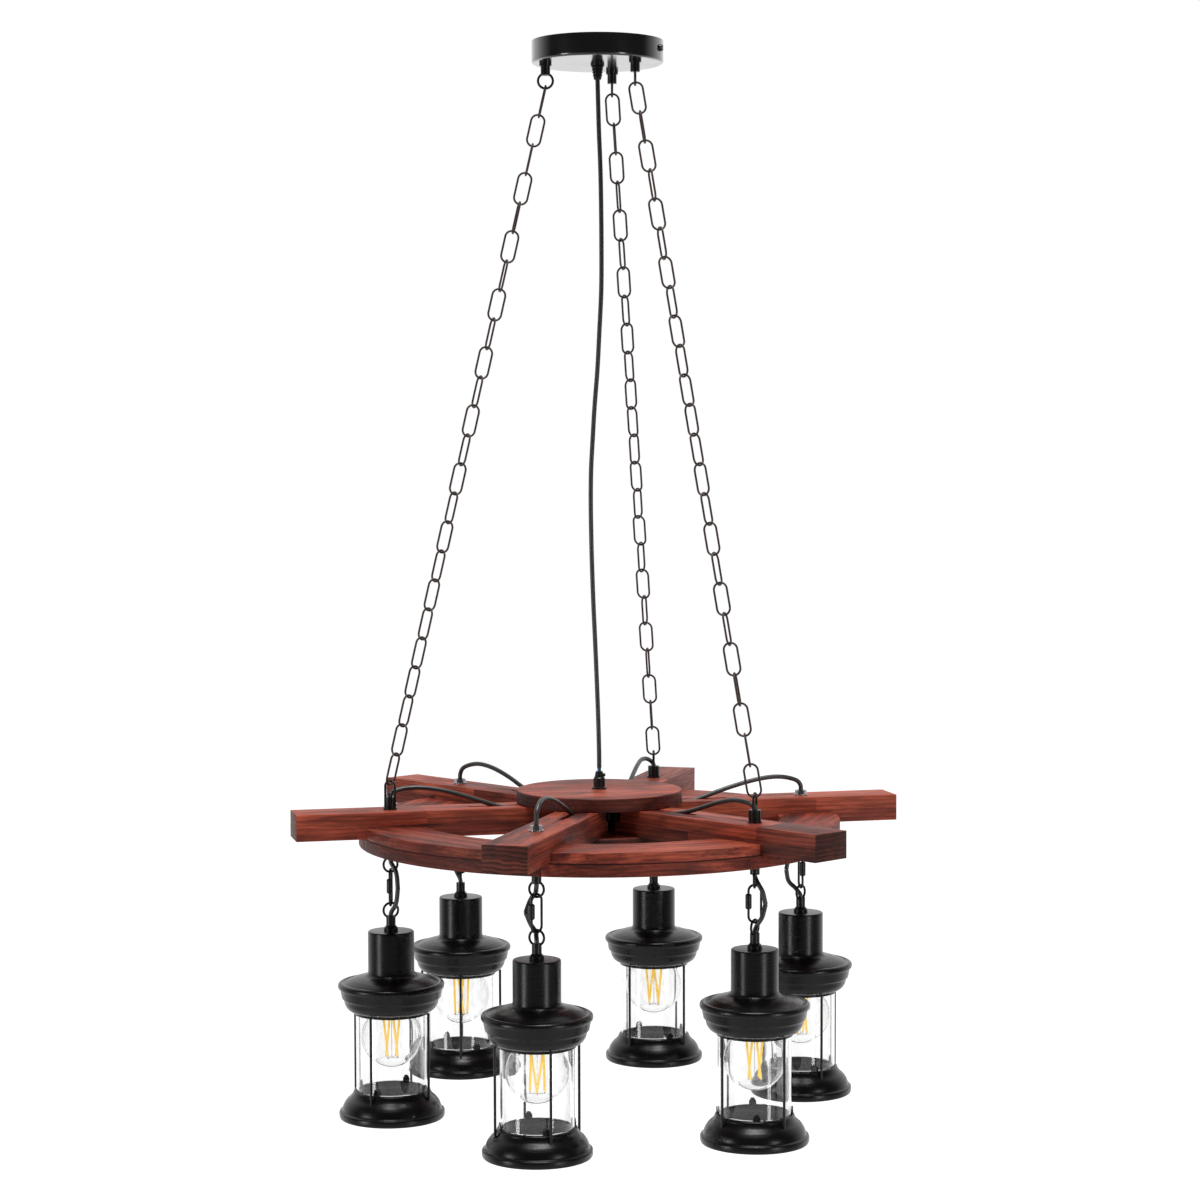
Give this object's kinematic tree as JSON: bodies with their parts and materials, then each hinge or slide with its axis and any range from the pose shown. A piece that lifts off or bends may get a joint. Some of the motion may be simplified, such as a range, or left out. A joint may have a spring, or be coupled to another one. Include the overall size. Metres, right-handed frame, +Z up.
{
  "type": "wagon wheel chandelier",
  "caption": "Timber wagon wheel hung level on chains from a round ceiling canopy, with a glass-sided metal lantern under each spoke.",
  "frame": {"origin": "on the ceiling, at the middle of the canopy and of its two ceiling screw holes", "axes": "+Z up towards the ceiling, the wheel's axis; +X and +Y level, with spoke a at 14 degrees from +X and the spokes lettered anticlockwise from above"},
  "size_m": [0.588, 0.5834, 1.0247],
  "materials": {
    "black_metal": "satin",
    "chain_steel": "satin",
    "bright_steel": "polished",
    "bracket_steel": "satin",
    "wood_top": "satin",
    "wood_under": "satin",
    "cord_black": "gloss",
    "black_plastic": "matte",
    "terminal_white": "matte",
    "glass": "gloss",
    "bulb": "gloss"
  },
  "bodies": {
    "canopy": {"canopy_pan": "black_metal", "ceiling_bracket": "bracket_steel", "canopy_hangers": "black_metal", "canopy_cord_grip": "black_plastic", "terminal_block": "terminal_white"},
    "supply": {"supply_cable": "cord_black"},
    "top_link_b": {"chain_b_top_link": "chain_steel"},
    "top_link_d": {"chain_d_top_link": "chain_steel"},
    "top_link_f": {"chain_f_top_link": "chain_steel"},
    "long_chain_b": {"chain_b": "chain_steel"},
    "long_chain_d": {"chain_d": "chain_steel"},
    "long_chain_f": {"chain_f": "chain_steel"},
    "wheel": {"hub_top_disc": "wood_top", "hub_lower_disc": "wood_under", "spoke_upper_boards": "wood_top", "spoke_lower_boards": "wood_under", "rim_upper_segments": "wood_top", "rim_lower_segments": "wood_under", "hub_cord_grip": "black_plastic", "hub_terminal_block": "terminal_white", "chain_loops": "black_metal", "cord_nuts": "bright_steel", "spoke_hangers": "black_metal", "lamp_cords": "cord_black"},
    "link_a": {"quick_link_a": "black_metal"},
    "link_b": {"quick_link_b": "black_metal"},
    "link_c": {"quick_link_c": "black_metal"},
    "link_d": {"quick_link_d": "black_metal"},
    "link_e": {"quick_link_e": "black_metal"},
    "link_f": {"quick_link_f": "black_metal"},
    "lantern_a": {"lantern_cap_a": "black_metal", "lantern_cage_a": "black_metal", "lantern_glass_a": "glass", "lantern_bulb_a": "bulb", "lantern_fitting_a": "black_metal"},
    "lantern_b": {"lantern_cap_b": "black_metal", "lantern_cage_b": "black_metal", "lantern_glass_b": "glass", "lantern_bulb_b": "bulb", "lantern_fitting_b": "black_metal"},
    "lantern_c": {"lantern_cap_c": "black_metal", "lantern_cage_c": "black_metal", "lantern_glass_c": "glass", "lantern_bulb_c": "bulb", "lantern_fitting_c": "black_metal"},
    "lantern_d": {"lantern_cap_d": "black_metal", "lantern_cage_d": "black_metal", "lantern_glass_d": "glass", "lantern_bulb_d": "bulb", "lantern_fitting_d": "black_metal"},
    "lantern_e": {"lantern_cap_e": "black_metal", "lantern_cage_e": "black_metal", "lantern_glass_e": "glass", "lantern_bulb_e": "bulb", "lantern_fitting_e": "black_metal"},
    "lantern_f": {"lantern_cap_f": "black_metal", "lantern_cage_f": "black_metal", "lantern_glass_f": "glass", "lantern_bulb_f": "bulb", "lantern_fitting_f": "black_metal"}
  },
  "joints": [
    {"name": "sway_x", "type": "hinge", "parent": "canopy", "child": "supply", "pos_m": [0, 0, 0.17364], "axis": [1, 0, 0], "range_deg": [-3, 3], "deforming": ["supply_cable"]},
    {"name": "sway_y", "type": "hinge", "parent": "supply", "child": "wheel", "pos_m": [0, 0, 0.17364], "axis": [0, 1, 0], "range_deg": [-3, 3]},
    {"name": "top_link_b_swing", "type": "hinge", "parent": "canopy", "child": "top_link_b", "pos_m": [0.01406, 0.04902, -0.04575], "axis": [0, 1, 0], "range_deg": [-4.1, 4.1]},
    {"name": "chain_b_swing", "type": "hinge", "parent": "top_link_b", "child": "long_chain_b", "pos_m": [0.01583, 0.0552, -0.07311], "axis": [1, 0, 0], "range_deg": [-4.3, 4.3]},
    {"name": "top_link_d_swing", "type": "hinge", "parent": "canopy", "child": "top_link_d", "pos_m": [-0.04949, -0.01234, -0.04575], "axis": [1, 0, 0], "range_deg": [-4.1, 4.1]},
    {"name": "chain_d_swing", "type": "hinge", "parent": "top_link_d", "child": "long_chain_d", "pos_m": [-0.05572, -0.01389, -0.07311], "axis": [0, 1, 0], "range_deg": [-4.3, 4.3]},
    {"name": "top_link_f_swing", "type": "hinge", "parent": "canopy", "child": "top_link_f", "pos_m": [0.03543, -0.03669, -0.04575], "axis": [0, 1, 0], "range_deg": [-4.1, 4.1]},
    {"name": "chain_f_swing", "type": "hinge", "parent": "top_link_f", "child": "long_chain_f", "pos_m": [0.03989, -0.04131, -0.07311], "axis": [1, 0, 0], "range_deg": [-4.3, 4.3]},
    {"name": "link_a_swing", "type": "hinge", "parent": "wheel", "child": "link_a", "pos_m": [0.19891, 0.04959, -0.78934], "axis": [0.9848, 0.1736, 0], "range_deg": [-15, 15], "deforming": ["lamp_cords"]},
    {"name": "link_b_swing", "type": "hinge", "parent": "wheel", "child": "link_b", "pos_m": [0.05651, 0.19706, -0.78934], "axis": [1, 0, 0], "range_deg": [-15, 15]},
    {"name": "link_c_swing", "type": "hinge", "parent": "wheel", "child": "link_c", "pos_m": [-0.14241, 0.14747, -0.78934], "axis": [0, 1, 0], "range_deg": [-15, 15]},
    {"name": "link_d_swing", "type": "hinge", "parent": "wheel", "child": "link_d", "pos_m": [-0.19891, -0.04959, -0.78934], "axis": [0.9063, 0.4226, 0], "range_deg": [-15, 15]},
    {"name": "link_e_swing", "type": "hinge", "parent": "wheel", "child": "link_e", "pos_m": [-0.05651, -0.19706, -0.78934], "axis": [0.9397, -0.342, 0], "range_deg": [-15, 15]},
    {"name": "link_f_swing", "type": "hinge", "parent": "wheel", "child": "link_f", "pos_m": [0.14241, -0.14747, -0.78934], "axis": [0.1736, 0.9848, 0], "range_deg": [-15, 15]},
    {"name": "lantern_a_swing", "type": "hinge", "parent": "link_a", "child": "lantern_a", "pos_m": [0.19891, 0.04959, -0.82159], "axis": [-0.2588, 0.9659, 0], "range_deg": [-12, 12]},
    {"name": "lantern_b_swing", "type": "hinge", "parent": "link_b", "child": "lantern_b", "pos_m": [0.05651, 0.19706, -0.82159], "axis": [0.0872, 0.9962, 0], "range_deg": [-12, 12]},
    {"name": "lantern_c_swing", "type": "hinge", "parent": "link_c", "child": "lantern_c", "pos_m": [-0.14241, 0.14747, -0.82159], "axis": [1, 0, 0], "range_deg": [-12, 12]},
    {"name": "lantern_d_swing", "type": "hinge", "parent": "link_d", "child": "lantern_d", "pos_m": [-0.19891, -0.04959, -0.82159], "axis": [0.0872, 0.9962, 0], "range_deg": [-12, 12]},
    {"name": "lantern_e_swing", "type": "hinge", "parent": "link_e", "child": "lantern_e", "pos_m": [-0.05651, -0.19706, -0.82159], "axis": [0.766, 0.6428, 0], "range_deg": [-12, 12]},
    {"name": "lantern_f_swing", "type": "hinge", "parent": "link_f", "child": "lantern_f", "pos_m": [0.14241, -0.14747, -0.82159], "axis": [1, 0, 0], "range_deg": [-12, 12]}
  ],
  "couplings": [
    {"joint": "top_link_b_swing", "follows": "sway_y", "ratio": 1.3312},
    {"joint": "chain_b_swing", "follows": "sway_x", "ratio": 1.3892},
    {"joint": "top_link_d_swing", "follows": "sway_x", "ratio": 1.3312},
    {"joint": "chain_d_swing", "follows": "sway_y", "ratio": 1.3892},
    {"joint": "top_link_f_swing", "follows": "sway_y", "ratio": 1.3312},
    {"joint": "chain_f_swing", "follows": "sway_x", "ratio": 1.3892}
  ]
}
